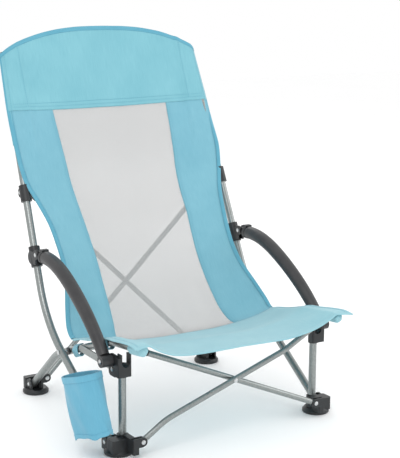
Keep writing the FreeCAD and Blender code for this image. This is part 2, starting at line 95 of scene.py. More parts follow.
# %% Floor and light
def linear(code):
    """sRGB hex to the linear colour that shaders work with."""
    parts = [int(code[i : i + 2], 16) / 255 for i in (1, 3, 5)]
    return [c / 12.92 if c <= 0.04045 else ((c + 0.055) / 1.055) ** 2.4 for c in parts] + [1.0]


def add(tree, kind, settings=(), links=()):
    """Adds a node. Settings are its properties or its inputs, and links are inputs fed by a socket."""
    made = tree.nodes.new(kind)
    for name, value in dict(settings).items():
        if isinstance(name, str) and name in made.bl_rna.properties:
            setattr(made, name, value)
        else:
            made.inputs[name].default_value = value
    for name, source in dict(links).items():
        tree.links.new(source, made.inputs[name])
    return made


def finish_of(name):
    """A new material with an empty node tree, and its output node."""
    made = bpy.data.materials.new(name)
    made.use_nodes = True
    made.node_tree.nodes.clear()
    return made, made.node_tree, made.node_tree.nodes.new("ShaderNodeOutputMaterial")


def lamp(name, place, size, power, aim=(0.0, 0.0, 0.35)):
    light = bpy.data.lights.new(name, "AREA")
    light.shape = "DISK"
    light.size = size
    light.energy = power
    made = bpy.data.objects.new(name, light)
    made.location = place
    made.rotation_euler = (Vector(aim) - Vector(place)).to_track_quat("-Z", "Y").to_euler()
    bpy.context.scene.collection.objects.link(made)


world = bpy.data.worlds.new("studio")
bpy.context.scene.world = world
world.use_nodes = True
world.node_tree.nodes["Background"].inputs["Color"].default_value = linear("#FFFFFF")
world.node_tree.nodes["Background"].inputs["Strength"].default_value = 1.0
lamp("key_light", (-1.9, -2.1, 2.6), 1.8, 30.0)
lamp("side_light", (2.4, -1.2, 1.5), 1.6, 14.0)
lamp("back_light", (0.6, 2.6, 2.2), 1.8, 14.0)
bpy.context.scene.view_settings.view_transform = "Standard"

floor_paint, tree, out = finish_of("matt_paper_floor")
grain = add(tree, "ShaderNodeTexNoise", {"Scale": 30.0, "Detail": 4.0})
pale = add(tree, "ShaderNodeMix", {"data_type": "RGBA"}, {"Factor": grain.outputs["Fac"]})
pale.inputs[6].default_value = linear("#FDFDFD")
pale.inputs[7].default_value = linear("#FFFFFF")
paper = add(tree, "ShaderNodeBsdfPrincipled", {"Roughness": 0.9}, {"Base Color": pale.outputs[2]})
tree.links.new(paper.outputs[0], out.inputs["Surface"])
ground = bmesh.new()
bmesh.ops.create_grid(ground, x_segments=2, y_segments=2, size=6.0)
floor_mesh = bpy.data.meshes.new("floor")
ground.to_mesh(floor_mesh)
floor_mesh.materials.append(floor_paint)
floor = bpy.data.objects.new("floor", floor_mesh)
bpy.context.scene.collection.objects.link(floor)
print("floor", floor.dimensions[0], "m wide, three lamps")

# %% [markdown]
# ## Finishes of the hard parts
# The tubes are steel with a grey metallic powder coat: flakes under a satin film, so it is half metal to
# the eye, with a soft long highlight. Powder melts into a faint orange-peel of about 2 mm, which is the
# bump here.

# %% Powder-coated steel
def principled(tree, out, settings, links=()):
    shader = add(tree, "ShaderNodeBsdfPrincipled", settings, links)
    tree.links.new(shader.outputs[0], out.inputs["Surface"])
    return shader


def two_tone(tree, dark, light, factor):
    """Blend of two hex colours by a factor socket."""
    blend = add(tree, "ShaderNodeMix", {"data_type": "RGBA"}, {"Factor": factor})
    blend.inputs[6].default_value = linear(dark)
    blend.inputs[7].default_value = linear(light)
    return blend.outputs[2]


def grain_noise(tree, size, detail=3.0, roughness=0.55, source="Object"):
    """Noise with grains of a real size in metres, on the piece's own coordinates."""
    where = add(tree, "ShaderNodeTexCoord")
    settings = {"Scale": 1.0 / size, "Detail": detail, "Roughness": roughness}
    return add(tree, "ShaderNodeTexNoise", settings, {"Vector": where.outputs[source]}).outputs["Fac"]


def stretched(tree, factor, low, high, out_low, out_high):
    """The factor with its range from low to high spread over the output range."""
    settings = {"From Min": low, "From Max": high, "To Min": out_low, "To Max": out_high}
    return add(tree, "ShaderNodeMapRange", settings, {"Value": factor}).outputs["Result"]


def bumped(tree, height, depth, strength=1.0):
    """Bump from a height socket, with its depth in metres."""
    settings = {"Distance": depth, "Strength": strength}
    return add(tree, "ShaderNodeBump", settings, {"Height": height}).outputs["Normal"]


steel_coat, tree, out = finish_of("powder_coated_steel")
flake = grain_noise(tree, 0.0016, 2.0)
peel = grain_noise(tree, 0.0022, 1.0)
scuff = grain_noise(tree, 0.05, 5.0, 0.7)
coat_colour = two_tone(tree, "#7E8382", "#9CA1A0", stretched(tree, flake, 0.35, 0.65, 0.0, 1.0))
links = {
    "Base Color": coat_colour,
    "Roughness": stretched(tree, scuff, 0.3, 0.7, 0.26, 0.38),
    "Normal": bumped(tree, peel, 0.00006),
}
principled(tree, out, {"Metallic": 0.78, "Coat Weight": 0.25, "Coat Roughness": 0.22}, links)
print("steel finish:", steel_coat.name)

# %% [markdown]
# The feet, hubs, collars and sliders are moulded in black nylon from a spark-eroded tool, which leaves a
# fine grain of about half a millimetre and a semi-matt surface. Edges that rub are a little smoother, so
# the roughness varies over a few centimetres. The arms are moulded polypropylene in dark grey with a
# satin face, and the rivets are zinc-plated steel.

# %% Moulded plastics and zinc
def moulded(name, dark, light, roughness, grit, depth):
    """Moulded plastic with a spark-eroded grain of a real size."""
    made, tree, out = finish_of(name)
    grain = grain_noise(tree, grit, 2.0)
    patch = grain_noise(tree, 0.035, 4.0)
    links = {
        "Base Color": two_tone(tree, dark, light, stretched(tree, patch, 0.35, 0.65, 0.0, 1.0)),
        "Roughness": stretched(tree, patch, 0.3, 0.7, roughness - 0.05, roughness + 0.06),
        "Normal": bumped(tree, grain, depth),
    }
    principled(tree, out, {"IOR": 1.49}, links)
    return made


black_nylon = moulded("moulded_black_nylon", "#1B1D1F", "#25282A", 0.42, 0.0008, 0.00005)
arm_plastic = moulded("moulded_PP_arm", "#2E2E30", "#383839", 0.40, 0.0012, 0.00003)

zinc, tree, out = finish_of("zinc_plated_steel")
smear = grain_noise(tree, 0.004, 3.0)
links = {
    "Base Color": two_tone(tree, "#B9BCBD", "#D9DBDB", smear),
    "Roughness": stretched(tree, smear, 0.3, 0.7, 0.22, 0.36),
}
principled(tree, out, {"Metallic": 1.0}, links)
print("plastics:", black_nylon.name, arm_plastic.name, "and", zinc.name)

# %% [markdown]
# Each ready-made part keeps its shape and only changes its finish. The slots that the parts were drawn
# with say which finish goes where.

# %% Dress the ready-made parts
FINISHES = {
    "grey_steel": steel_coat,
    "black_plastic": black_nylon,
    "arm_plastic": arm_plastic,
    "rivet_steel": zinc,
}
dressed = 0
for name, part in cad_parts.items():
    for slot in part.material_slots:
        label = slot.material.name.split(".")[0]
        if label in FINISHES:
            slot.material = FINISHES[label]
            dressed += 1
print("dressed", dressed, "of", len(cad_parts), "parts; the others are cloth")

# %% [markdown]
# ## The cloths
# The chair is sewn from 600-denier polyester: a plain weave of threads about 0.45 mm apart. At this size
# the weave would only flicker, so it is drawn 1.6 mm apart, as the crossing of two sets of bands. The
# cloth is dyed one light blue; the blue drifts at random over some centimetres, and a fine slub streak
# runs along the threads. The seat's copy is lighter than the back's: partly a panel of its own, partly
# painted light where its face turns up to the lamps. A little sheen gives the pale rim that woven
# polyester has.

# %% Polyester 600D
THREADS = 0.0016
BAND_PERIOD = 0.314


def weave_height(tree, cut, spacing):
    """Height of a plain weave on the cut's own flat coordinates, in metres."""
    bands = []
    for direction in ("X", "Y"):
        settings = {"bands_direction": direction, "Scale": BAND_PERIOD / spacing, "Distortion": 0.0}
        bands.append(add(tree, "ShaderNodeTexWave", settings, {"Vector": cut}).outputs["Fac"])
    return add(tree, "ShaderNodeMath", {"operation": "MAXIMUM"}, {0: bands[0], 1: bands[1]}).outputs[0]


def woven(name, dark, light, roughness=0.78, depth=0.00016, sheen=0.25):
    """Plain-weave cloth between two shades of its dye."""
    made, tree, out = finish_of(name)
    cut = add(tree, "ShaderNodeUVMap", {"uv_map": "cut"}).outputs["UV"]
    weave = weave_height(tree, cut, THREADS)
    squeezed = add(tree, "ShaderNodeMapping", {"Scale": (900.0, 40.0, 1.0)}, {"Vector": cut}).outputs[0]
    slub = add(tree, "ShaderNodeTexNoise", {"Scale": 1.0, "Detail": 2.0}, {"Vector": squeezed}).outputs["Fac"]
    drift = add(tree, "ShaderNodeTexNoise", {"Scale": 14.0, "Detail": 3.0}, {"Vector": cut}).outputs["Fac"]
    shade = add(tree, "ShaderNodeMath", {"operation": "ADD"}, {0: slub, 1: drift}).outputs[0]
    shade = stretched(tree, shade, 0.7, 1.3, 0.0, 0.75)
    settings = {"operation": "MULTIPLY_ADD", 1: 0.25}
    mixed = add(tree, "ShaderNodeMath", settings, {0: weave, 2: shade}).outputs[0]
    links = {"Base Color": two_tone(tree, dark, light, mixed), "Normal": bumped(tree, weave, depth, 0.6)}
    settings = {"Roughness": roughness, "IOR": 1.45, "Sheen Weight": sheen, "Sheen Roughness": 0.4}
    principled(tree, out, settings, links)
    return made


headband_cloth = woven("polyester_600D_headband", "#6FADBB", "#80BBC7")
band_cloth = woven("polyester_600D_side_band", "#6DA8BA", "#7DB5C5")
# The seat's cloth is drawn lighter than the back's: partly a panel of its own, partly painted light on its
# upward face. Its side bindings, front hem and corner pockets carry the same painted light.
seat_cloth = woven("polyester_600D_seat", "#86B9C5", "#98C6CF")
binding_cloth = woven("polyester_binding_tape", "#5299B0", "#62A7BC", 0.7, 0.0002)
pouch_cloth = woven("polyester_600D_pouch", "#5B9FB9", "#69ABC3")
print("cloths:", headband_cloth.name, band_cloth.name, seat_cloth.name, binding_cloth.name, pouch_cloth.name)

# %% [markdown]
# The panel behind the sitter is a knitted polyester mesh, so that the back stays cool. Its real holes are
# about 1 mm across and would be too fine to show, so they are drawn 1.8 mm apart. Through them the frame
# behind shows as a soft grey. The holes are real openings: where the cell pattern is deep, the cloth is
# not there.

# %% Polyester mesh
MESH_HOLES = 0.0018
mesh_cloth, tree, out = finish_of("knitted_polyester_mesh")
cut = add(tree, "ShaderNodeUVMap", {"uv_map": "cut"}).outputs["UV"]
settings = {"Scale": 1.0 / MESH_HOLES, "Randomness": 0.25, "voronoi_dimensions": "2D"}
cells = add(tree, "ShaderNodeTexVoronoi", settings, {"Vector": cut}).outputs["Distance"]
fuzz = add(tree, "ShaderNodeTexNoise", {"Scale": 330.0, "Detail": 2.0}, {"Vector": cut}).outputs["Fac"]
solid = stretched(tree, cells, 0.34, 0.46, 0.0, 1.0)
open_share = stretched(tree, solid, 0.0, 1.0, 0.10, 1.0)
links = {
    "Base Color": two_tone(tree, "#9C9D9D", "#CBCCCC", fuzz),
    "Alpha": open_share,
}
principled(tree, out, {"Roughness": 0.8, "IOR": 1.45, "Sheen Weight": 0.15}, links)

thread, tree, out = finish_of("polyester_sewing_thread")
twist = grain_noise(tree, 0.0008, 1.0)
links = {"Base Color": two_tone(tree, "#3E93AE", "#4FA3BC", twist), "Normal": bumped(tree, twist, 0.0001)}
principled(tree, out, {"Roughness": 0.6, "Sheen Weight": 0.3}, links)
print("mesh holes every", MESH_HOLES * 1000, "mm; thread:", thread.name)

# %% [markdown]
# ## The shape of the sling
# The sling is one long hanging surface. It is easiest to think of it in rows, from the top edge of the
# headrest down the back, through the crease and out to the front of the seat. For each row the table
# gives the side edge's distance back and height, half the width, how deep the middle hangs behind the
# edges, how square the hanging curve is, how much of the width hangs free, and half the mesh's width.
# A smooth curve joins the rows, so every panel cut from this surface meets its neighbour.

# %% Rows of the sling
ROWS = (
    (0.3160, 0.755, 0.2485, 0.005, 2.4, 1.0, 0.151),
    (0.3000, 0.719, 0.2505, 0.010, 2.4, 1.0, 0.149),
    (0.2822, 0.679, 0.2528, 0.013, 2.4, 1.0, 0.147),
    (0.2638, 0.638, 0.2552, 0.015, 2.4, 1.0, 0.145),
    (0.2372, 0.580, 0.2565, 0.016, 2.0, 1.0, 0.142),
    (0.2238, 0.550, 0.2568, 0.016, 2.0, 1.0, 0.140),
    (0.2105, 0.520, 0.2560, 0.016, 2.0, 1.0, 0.138),
    (0.1930, 0.480, 0.2490, 0.018, 2.1, 1.0, 0.135),
    (0.1660, 0.440, 0.2340, 0.021, 2.2, 1.0, 0.132),
    (0.1350, 0.400, 0.2230, 0.023, 2.2, 1.0, 0.130),
    (0.1090, 0.360, 0.2180, 0.024, 2.3, 1.0, 0.127),
    (0.0830, 0.320, 0.2170, 0.024, 2.4, 1.0, 0.125),
    (0.0560, 0.280, 0.2240, 0.024, 2.4, 1.0, 0.126),
    (0.0240, 0.240, 0.2390, 0.023, 2.4, 1.0, 0.129),
    (-0.0040, 0.207, 0.2500, 0.022, 2.5, 0.98, 0.134),
    (-0.0280, 0.189, 0.2510, 0.023, 2.6, 0.96, 0.142),
    (-0.0600, 0.1965, 0.2480, 0.026, 3.0, 0.93, 0.148),
    (-0.1000, 0.2050, 0.2480, 0.028, 3.4, 0.91, 0.150),
    (-0.1400, 0.2158, 0.2485, 0.030, 3.8, 0.90, 0.150),
    (-0.1750, 0.2272, 0.2490, 0.031, 4.2, 0.90, 0.150),
    (-0.2100, 0.2322, 0.2500, 0.032, 4.4, 0.89, 0.150),
    (-0.2500, 0.2388, 0.2520, 0.035, 4.6, 0.87, 0.150),
    (-0.2850, 0.2430, 0.2545, 0.036, 4.8, 0.865, 0.150),
    (-0.3000, 0.2430, 0.2560, 0.036, 4.8, 0.865, 0.150),
)
HEAD_SEAM = 3.0
CREASE = 15.0
SEAT_SEAM = 15.4
FRONT = float(len(ROWS) - 1)


def between(before, a, b, after, t):
    """Smooth curve from a to b that also respects the rows beside them."""
    slope = (b - before) * t
    bend = (2 * before - 5 * a + 4 * b - after) * t * t
    ease = (3 * a - before - 3 * b + after) * t**3
    return a + 0.5 * (slope + bend + ease)


def row_at(v):
    i = max(0, min(int(v), len(ROWS) - 2))
    near = [ROWS[min(max(k, 0), len(ROWS) - 1)] for k in (i - 1, i, i + 1, i + 2)]
    return [between(*numbers, v - i) for numbers in zip(*near)]


def downhill(v):
    """Direction along the cloth, from the headrest towards the front edge."""
    a = row_at(max(v - 0.05, 0.0))
    b = row_at(min(v + 0.05, FRONT))
    return Vector((0.0, b[0] - a[0], b[1] - a[1])).normalized()


lengths = [0.0]
for k in range(1, int(FRONT) * 20 + 1):
    a, b = row_at((k - 1) / 20), row_at(k / 20)
    lengths.append(lengths[-1] + math.hypot(b[0] - a[0], b[1] - a[1]))


def cloth_length(v):
    """Length of cloth from the top edge down to row v."""
    k = min(int(v * 20), len(lengths) - 2)
    return lengths[k] + (lengths[k + 1] - lengths[k]) * (v * 20 - k)


print("cloth from headrest to seat front:", round(cloth_length(FRONT), 3), "m")

# %% [markdown]
# Cloth under load is never a perfect surface. Long soft ripples run down the panels, and the headrest is
# lifted in a ridge where the pocket for the pole is sewn behind it. The headrest's top edge also rises in
# the middle, in the curve that a cutter would give it, its two corners are rounded off, and its side edges
# turn back a little round the poles.

# %% A point on the sling
TOP_RISE = 0.055
POCKET_SEAM = 0.205
CORNER = 0.005
WRAP = 0.0075
POCKET_RIDGE = 0.0026


def ripple(v, u, x):
    """Small uneven waves of the cloth, none at the side edges."""
    calm = 1.0 - abs(u) ** 6
    wave = noise.noise(Vector((x * 9.0, cloth_length(v) * 3.5, 0.3))) * 0.0030
    fine = noise.noise(Vector((x * 34.0, cloth_length(v) * 11.0, 4.1))) * 0.0008
    return (wave + fine) * calm


def sling(v, u, lift=0.0):
    """Point of the sling at row v, u from -1 at the left edge to 1 at the right, lifted off its face."""
    y, z, half, sag, power, free, _ = row_at(v)
    run = downhill(v)
    behind = Vector((0.0, -run.z, run.y))
    hang = 1.0 - min(abs(u) / free, 1.0) ** power
    depth = sag * hang + ripple(v, u, half * u) - lift
    head = max(0.0, 1.0 - v / HEAD_SEAM)
    round_off = CORNER * abs(u) ** 14 * head**3
    ridge = math.exp(-(((abs(half * u) - POCKET_SEAM) / 0.007) ** 2)) * min(1.0, max(0.0, (6.0 - v) / 2.0))
    depth -= POCKET_RIDGE * ridge
    depth += WRAP * max(0.0, (abs(u) - 0.95) / 0.05) ** 2 * min(1.0, max(0.0, (5.5 - v) / 2.0))
    tip = max(0.0, v - FRONT + 1.0) * abs(u) ** 8
    point = placed(half * u, y, z) + behind * depth
    point -= run * (TOP_RISE * head * (1.0 - abs(u) ** 2.5) - round_off)
    return point + Vector((0.0, -0.014 * tip, -0.003 * tip))


print("top middle of the headrest:", [round(c, 3) for c in sling(0.0, 0.0)])

# %% [markdown]
# ## Cutting panels
# A panel starts as a flat grid, the way cloth starts as a flat piece on the table. Each grid point is then
# laid on the sling's surface, and it keeps its place on the flat cut as its pattern coordinates, in
# metres, so the weave keeps one size in every panel. A thin wall behind the face makes it real cloth.

# %% Panel maker
CLOTH_WALL = 0.0010


def into_piece(name, form, finish, body):
    """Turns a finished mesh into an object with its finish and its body."""
    mesh = bpy.data.meshes.new(name)
    form.to_mesh(mesh)
    form.free()
    mesh.materials.append(finish)
    mesh.polygons.foreach_set("use_smooth", [True] * len(mesh.polygons))
    piece = bpy.data.objects.new(name, mesh)
    bpy.context.scene.collection.objects.link(piece)
    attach(piece, body)
    return piece


def lay(name, along, across, place, finish, body, wall=CLOTH_WALL):
    """Flat grid laid where place(a, b) says: a runs 0 to 1 across and b runs 0 to 1 down."""
    form = bmesh.new()
    cut = form.loops.layers.uv.new("cut")
    bmesh.ops.create_grid(form, x_segments=across, y_segments=along, size=0.5)
    flat = {}
    for corner in form.verts:
        spot, pattern = place(corner.co.x + 0.5, 0.5 - corner.co.y)
        flat[corner] = pattern
        corner.co = spot
    for face in form.faces:
        for loop in face.loops:
            loop[cut].uv = flat[loop.vert]
    piece = into_piece(name, form, finish, body)
    if wall:
        thick = piece.modifiers.new("wall", "SOLIDIFY")
        thick.thickness = wall
        thick.offset = -1.0
    return piece


def strip_of_sling(top, bottom, left, right, lift=0.0):
    """Place function for the part of the sling between two rows and two edges, given in metres."""

    def place(a, b):
        v = top + (bottom - top) * b
        x = left(v) + (right(v) - left(v)) * a
        return sling(v, x / half_width(v), lift), (x, cloth_length(v))

    return place


def half_width(v):
    return row_at(v)[2]


def mesh_half(v):
    return row_at(v)[6]


# %% [markdown]
# The headrest is a double panel across the whole width, from the curved top edge to a straight seam. The
# two side bands run from that seam to the crease, and cover the edge of the mesh by 8 mm. The seat is one
# panel from the crease to the front.

# %% Headrest, bands, mesh and seat
OVERLAP = 0.008


def left_edge(v):
    return -half_width(v)


def mesh_left(v):
    return -mesh_half(v) - OVERLAP


def mesh_right(v):
    return mesh_half(v) + OVERLAP


headrest = lay(
    "headrest", 60, 120, strip_of_sling(0.0, HEAD_SEAM + 0.12, left_edge, half_width, 0.0014),
    headband_cloth, "back_cloth", wall=0.0016)
back_panels = [headrest]
for side, word in ((-1, "left"), (1, "right")):
    def inner(v, side=side):
        return side * mesh_half(v)

    def outer(v, side=side):
        return side * half_width(v)

    edges = (outer, inner) if side < 0 else (inner, outer)
    band = lay(
        "side_band_" + word, 220, 30, strip_of_sling(HEAD_SEAM, SEAT_SEAM, *edges), band_cloth, "back_cloth")
    back_panels.append(band)
mesh_panel = lay(
    "mesh_panel", 200, 90,
    strip_of_sling(HEAD_SEAM - 0.1, SEAT_SEAM + 0.1, mesh_left, mesh_right, -0.0012),
    mesh_cloth, "back_cloth", wall=0.0007)
back_panels.append(mesh_panel)
seat_panel = lay(
    "seat_panel", 120, 130, strip_of_sling(SEAT_SEAM - 0.05, FRONT, left_edge, half_width, 0.0010),
    seat_cloth, "seat_cloth")
print("panels:", [p.name for p in back_panels], seat_panel.name)

# %% [markdown]
# ## Binding tape
# A raw edge of woven cloth frays, so it is bound: a tape 18 mm wide is folded in half over the edge and
# sewn through. It is a grid again, this time long and narrow, laid as a U round the edge.

# %% Binding on the edges
TAPE = 0.009
TAPE_LIFT = 0.0014
TAPE_WALL = 0.0005
TOP_TAPE_LENGTH = 0.52
FRONT_HEM_LENGTH = 0.56


def folded_tape(edge, inward, front, length):
    """Place function for a tape folded over an edge. The three functions give the edge's point, the way
    into the cloth and the way out of its face, at a share of the edge's length."""

    def place(a, b):
        side = 2.0 * a - 1.0
        reach = max(0.0, abs(side) - 0.22) / 0.78
        rise = math.sin(min(1.0, abs(side) / 0.22) * math.pi / 2)
        rise = math.copysign(rise, side)
        proud = 0.0009 * (1.0 - min(1.0, abs(side) / 0.22))
        point = edge(b) + inward(b) * (TAPE * reach - proud) + front(b) * (TAPE_LIFT * rise)
        return point, (a * 2 * TAPE, b * length)

    return place


def side_edge(side, top, bottom):
    """Edge, inward and front functions of a side edge of the sling between two rows."""

    def row(b):
        return top + (bottom - top) * b

    def edge(b):
        return sling(row(b), side)

    def inward(b):
        return (sling(row(b), side * 0.95) - sling(row(b), side)).normalized()

    def front(b):
        along = (sling(min(row(b) + 0.05, FRONT), side) - sling(max(row(b) - 0.05, 0.0), side)).normalized()
        out = along.cross(inward(b)) * side
        return out.normalized()

    return edge, inward, front


def cross_edge(v, inward_sign, lift=0.0):
    """Edge, inward and front functions of an edge that runs across the sling at row v."""

    def edge(b):
        return sling(v, 2.0 * b - 1.0, lift)

    def inward(b):
        within = sling(v + inward_sign * 0.1, 2.0 * b - 1.0, lift)
        return (within - sling(v, 2.0 * b - 1.0, lift)).normalized()

    def front(b):
        along = (edge(min(b + 0.01, 1.0)) - edge(max(b - 0.01, 0.0))).normalized()
        return (along.cross(inward(b)) * -inward_sign).normalized()

    return edge, inward, front


bindings = []
for side, word in ((-1, "left"), (1, "right")):
    run = cloth_length(CREASE) - cloth_length(0.0)
    bindings.append(lay(
        "back_binding_" + word, 260, 16, folded_tape(*side_edge(side, 0.0, CREASE), run),
        binding_cloth, "back_cloth", wall=TAPE_WALL))
    run = cloth_length(FRONT) - cloth_length(CREASE)
    bindings.append(lay(
        "seat_binding_" + word, 120, 16, folded_tape(*side_edge(side, CREASE + 0.1, FRONT), run),
        seat_cloth, "seat_cloth", wall=TAPE_WALL))
bindings.append(lay(
    "top_binding", 160, 16, folded_tape(*cross_edge(0.0, 1), TOP_TAPE_LENGTH),
    binding_cloth, "back_cloth", wall=TAPE_WALL))
bindings.append(lay(
    "front_hem", 160, 16, folded_tape(*cross_edge(FRONT, -1), FRONT_HEM_LENGTH),
    seat_cloth, "seat_cloth", wall=TAPE_WALL))
print("bindings:", [b.name for b in bindings])

# %% [markdown]
# ## Pockets on the poles
# The back hangs from two long pockets that the poles slide into. Behind each side of the headrest the
# cloth turns round the pole and comes back to a seam on the panel. The pocket is one strip of cloth that
# follows that turn: from the panel's edge round the outside of the pole, and flat along the back. A small
# cap of the same cloth closes its top.

# %% Pole pockets
POCKET_R = 0.0092
POLE_TOP = Vector((0.2386, 0.3234, 0.748))
POLE_BEND = Vector((0.2590, 0.0788, 0.1981))
POCKET_LOW = 0.560
POCKET_BACK = 0.030
POCKET_ABOVE = 0.0025
POCKET_START = math.radians(50.0)
POCKET_TURN = math.radians(125.0)
CAP_ABOVE = 0.0030


def pole_axis(z):
    """Point on the right pole's middle line at height z, from the chair's middle."""
    return POLE_BEND + (POLE_TOP - POLE_BEND) * ((z - POLE_BEND.z) / (POLE_TOP.z - POLE_BEND.z))


def pole_pocket(side):
    """Place function of the strip round the pole on one side."""
    up = (POLE_TOP - POLE_BEND).normalized()
    fore = Vector((0.0, -up.z, up.y)).normalized()
    around = POCKET_R * POCKET_TURN
    high = POLE_TOP.z + POCKET_ABOVE

    def place(a, b):
        z = high + (POCKET_LOW - high) * b
        pole = pole_axis(z)
        reach = a * (around + POCKET_BACK)
        angle = POCKET_START - min(reach, around) / POCKET_R
        flat = max(0.0, reach - around)
        x = pole.x + math.cos(angle) * POCKET_R - flat * 0.97
        off = math.sin(angle) * POCKET_R + flat * 0.18
        loose = noise.noise(Vector((reach * 40.0, z * 14.0, side * 3.0))) * 0.0006
        spot = Vector((x, pole.y, pole.z)) + fore * (off + loose)
        return placed(side * spot.x, spot.y, spot.z), (reach, z)

    return place


def closed_top(side):
    """Place function of the small cap of cloth over the pole's end."""
    top = POLE_TOP + (POLE_TOP - POLE_BEND).normalized() * CAP_ABOVE

    def place(a, b):
        angle = a * 2.0 * math.pi
        reach = POCKET_R * (1.0 - b)
        dome = 0.0022 * (1.0 - (1.0 - b) ** 2)
        x = top.x + math.cos(angle) * reach
        y = top.y + math.sin(angle) * reach
        return placed(side * x, y, top.z + dome - 0.4 * math.sin(angle) * reach), (a * 0.06, b * 0.01)

    return place


pockets = []
for side, word in ((-1, "left"), (1, "right")):
    pocket = lay(
        "pole_pocket_" + word, 120, 40, pole_pocket(side), headband_cloth, "pole_" + word, wall=0.0007)
    cap = lay("pocket_top_" + word, 8, 28, closed_top(side), headband_cloth, "pole_" + word, wall=0.0)
    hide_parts("back_sleeve_" + word)
    pockets += [pocket, cap]
print("pockets:", [p.name for p in pockets])

# %% [markdown]
# ## Loops and corner pockets on the seat rails
# The seat is held by two cloth loops on each rail and by a pocket over the rail's front end. A loop is a
# band of cloth sewn to a ring: a cylinder with its ends open, a little looser than the tube. The pocket is
# the same, but its front end draws in to a rounded tip.

# %% Rail loops and corner pockets
RAIL_X = 0.232
RAIL_LINE = ((0.0840, 0.1250), (-0.1750, 0.2180), (-0.2920, 0.2310))
LOOP_R = 0.0098


def rail_height(y):
    """Height of the rail's middle line at a distance y from the chair's middle."""
    (y0, z0), (y1, z1) = RAIL_LINE[:2] if y > RAIL_LINE[1][0] else RAIL_LINE[1:]
    return z0 + (z1 - z0) * (y - y0) / (y1 - y0)


def ring_of_cloth(side, rear, front, hang, x=RAIL_X, r=LOOP_R, closed=0.0):
    """Place function for cloth round the rail between two distances, drooping below it by hang. The last
    share of it, closed, draws in to a rounded end."""

    def place(a, b):
        y = rear + (front - rear) * b
        angle = 2.0 * math.pi * a
        droop = hang * max(0.0, -math.cos(angle)) ** 3
        drawn = max(0.0, b - 1.0 + closed) / closed if closed else 0.0
        around = (r + 0.0005 * math.sin(angle * 5.0 + b * 3.0)) * math.sqrt(max(0.0, 1.0 - drawn * drawn))
        x_now = x + math.sin(angle) * around
        z_now = rail_height(y) + math.cos(angle) * around - droop * (1.0 - drawn)
        return placed(side * x_now, y, z_now), (a * 0.064, y)

    return place


rail_cloth = []
for side, word in ((-1, "left"), (1, "right")):
    rear_loop = lay(
        "rail_loop_rear_" + word, 10, 48, ring_of_cloth(side, -0.012, -0.034, 0.006),
        band_cloth, "rail_" + word, wall=0.0012)
    front_loop = lay(
        "rail_loop_front_" + word, 10, 48, ring_of_cloth(side, -0.146, -0.168, 0.004),
        band_cloth, "rail_" + word, wall=0.0012)
    corner = lay(
        "corner_pocket_" + word, 24, 48,
        ring_of_cloth(side, -0.252, -0.3030, 0.002, r=0.0092, closed=0.16),
        seat_cloth, "rail_" + word, wall=0.0012)
    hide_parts("rail_loops_" + word)
    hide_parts("rail_pocket_" + word)
    rail_cloth += [rear_loop, front_loop, corner]
print("on the rails:", [p.name for p in rail_cloth])

# %% [markdown]
# ## The cup pouch
# A drink stands in a soft oval pouch that hangs on the left pole. It is a tube of cloth with a doubled
# hem at the top and bottom and a floor sewn in. Cloth this light is never a true oval: the sides bow, the
# top edge pulls straight and the lower hem waves.

# %% Cup pouch
POUCH_AXIS = Vector((-0.0785, 0.2856, 0.9545)).normalized()
POUCH_BASE = Vector((-0.296, -0.214, 0.047))
POUCH_TALL = 0.124
POUCH_X = 0.0305
POUCH_Y = 0.0575
HEM_PROUD = 0.0011
HEM_WALL = 0.0022
across = Vector((1.0, 0.0, 0.0))
across = (across - POUCH_AXIS * across.dot(POUCH_AXIS)).normalized()
ahead = POUCH_AXIS.cross(across)


def pouch_wall(angle, rise, proud=0.0):
    """Point of the pouch's wall at an angle round it and a height along it."""
    low = 1.0 - rise / POUCH_TALL
    slack = 0.0016 * math.sin(angle * 3.0 + 0.6) * low + 0.0010 * math.sin(angle * 7.0 + rise * 60.0)
    bow = 0.0022 * math.sin(math.pi * rise / POUCH_TALL)
    lean = 1.0 - 0.05 * low
    r_x = (POUCH_X + slack + bow + proud) * lean
    r_y = (POUCH_Y + slack - bow + proud) * lean
    wave = 0.0022 * math.sin(angle * 4.0 + 0.9) * low**4 + 0.0010 * math.sin(angle * 9.0) * low**4
    c, s = math.cos(angle), math.sin(angle)
    wide = r_x * math.copysign(abs(c) ** 0.85, c)
    deep = r_y * math.copysign(abs(s) ** 0.85, s)
    point = across * wide + ahead * deep
    return POUCH_BASE + point + POUCH_AXIS * (rise + wave)


def pouch_part(low, high, proud):
    """Place function for a stretch of the pouch's wall between two heights."""

    def place(a, b):
        rise = high + (low - high) * b
        return placed(*pouch_wall(2.0 * math.pi * a, rise, proud)), (a * 0.29, rise)

    return place


def pouch_floor(a, b):
    edge = pouch_wall(2.0 * math.pi * a, 0.012, -0.001)
    middle = POUCH_BASE + POUCH_AXIS * 0.009
    return placed(*(middle + (edge - middle) * (1.0 - b))), (edge.x * (1.0 - b), edge.y * (1.0 - b))


pouch = lay(
    "cup_pouch", 60, 160, pouch_part(0.002, POUCH_TALL - 0.001, 0.0),
    pouch_cloth, "pole_left", 0.001)
top_hem = lay(
    "cup_pouch_top_hem", 8, 160, pouch_part(POUCH_TALL - 0.013, POUCH_TALL, HEM_PROUD),
    pouch_cloth, "pole_left", HEM_WALL)
low_hem = lay(
    "cup_pouch_lower_hem", 6, 160, pouch_part(0.0, 0.009, HEM_PROUD),
    pouch_cloth, "pole_left", HEM_WALL)
bottom = lay("cup_pouch_floor", 16, 96, pouch_floor, pouch_cloth, "pole_left", 0.001)
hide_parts("cup_holder")
print("pouch stands", POUCH_TALL * 1000, "mm tall")

# %% [markdown]
# A short strap of the same cloth goes round the pole and back to the pouch's inner side.

# %% Pouch strap
FRONT_PIN = Vector((0.252, -0.195, 0.022))
STRAP_LOW = 0.062
STRAP_WIDTH = 0.025
pole_up = (POLE_BEND - FRONT_PIN).normalized()
pole_side = Vector((1.0, 0.0, 0.0))
pole_side = (pole_side - pole_up * pole_side.dot(pole_up)).normalized()
pole_face = pole_up.cross(pole_side)


